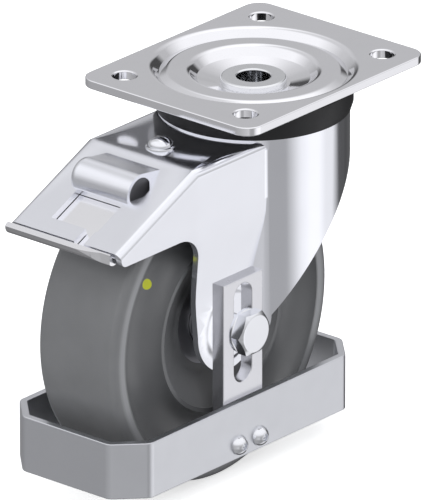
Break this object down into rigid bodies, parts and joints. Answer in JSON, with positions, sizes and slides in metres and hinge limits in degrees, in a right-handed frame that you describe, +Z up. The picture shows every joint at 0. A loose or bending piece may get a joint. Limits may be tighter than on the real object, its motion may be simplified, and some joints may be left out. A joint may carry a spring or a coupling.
{
  "type": "swivel castor",
  "caption": "Plate-mounted swivel castor with a pressed steel fork, a grey plastic wheel, a toe brake pedal and a steel foot guard.",
  "frame": {"origin": "centre of the four bolt holes, on the swivel axis, in the plate's top face", "axes": "+X towards the brake pedal, +Y towards the head of the axle bolt, +Z up out of the plate"},
  "size_m": [0.1649, 0.085, 0.15],
  "materials": {
    "zinc_plate": "zinc plated, satin",
    "bright_sheet": "bright zinc plated, glossy",
    "guard_sheet": "zinc plated, satin",
    "bolt_steel": "bright zinc plated",
    "ball_steel": "ground bearing steel",
    "dark_steel": "blackened, dull",
    "seal_rubber": "matt",
    "wheel_plastic": "moulded, satin",
    "dot_paint": "paint"
  },
  "bodies": {
    "plate": {"top_plate": "zinc_plate", "kingpin": "bolt_steel", "lower_race": "ball_steel"},
    "fork": {"fork": "bright_sheet", "upper_balls": "ball_steel", "lower_balls": "ball_steel", "dust_seal": "seal_rubber", "web_rivet": "bolt_steel", "detent_spring": "dark_steel", "pedal_pin": "dark_steel", "pin_bush_near": "dark_steel", "pin_bush_far": "dark_steel", "axle_bolt": "bolt_steel", "axle_nut": "bolt_steel", "axle_washer_near": "bolt_steel", "axle_washer_far": "bolt_steel", "axle_sleeve": "ball_steel", "bearing_inner_near": "ball_steel", "bearing_inner_far": "ball_steel"},
    "wheel": {"wheel": "wheel_plastic", "marker_dot": "dot_paint", "bearing_outer_near": "ball_steel", "bearing_outer_far": "ball_steel", "bearing_balls_near": "ball_steel", "bearing_balls_far": "ball_steel", "bearing_shield_near": "zinc_plate", "bearing_shield_far": "zinc_plate"},
    "pedal": {"brake_pedal": "bright_sheet", "brake_shoe": "dark_steel", "shoe_rivets": "ball_steel"},
    "guard": {"foot_guard": "guard_sheet", "guard_strap_near": "guard_sheet", "guard_strap_far": "guard_sheet", "guard_screws": "bolt_steel"}
  },
  "joints": [
    {"name": "swivel", "type": "hinge", "parent": "plate", "child": "fork", "pos_m": [0, 0, -0.0125], "axis": [0, 0, 1], "continuous": true},
    {"name": "wheel_spin", "type": "hinge", "parent": "fork", "child": "wheel", "pos_m": [0.041, 0, -0.0875], "axis": [0, 1, 0], "continuous": true},
    {"name": "brake_press", "type": "hinge", "parent": "fork", "child": "pedal", "pos_m": [0.07962, 0, -0.02483], "axis": [0, 1, 0], "range_deg": [0, 12]},
    {"name": "guard_height", "type": "slide", "parent": "fork", "child": "guard", "axis": [0, 0, 1], "range_m": [-0.012, 0]}
  ]
}
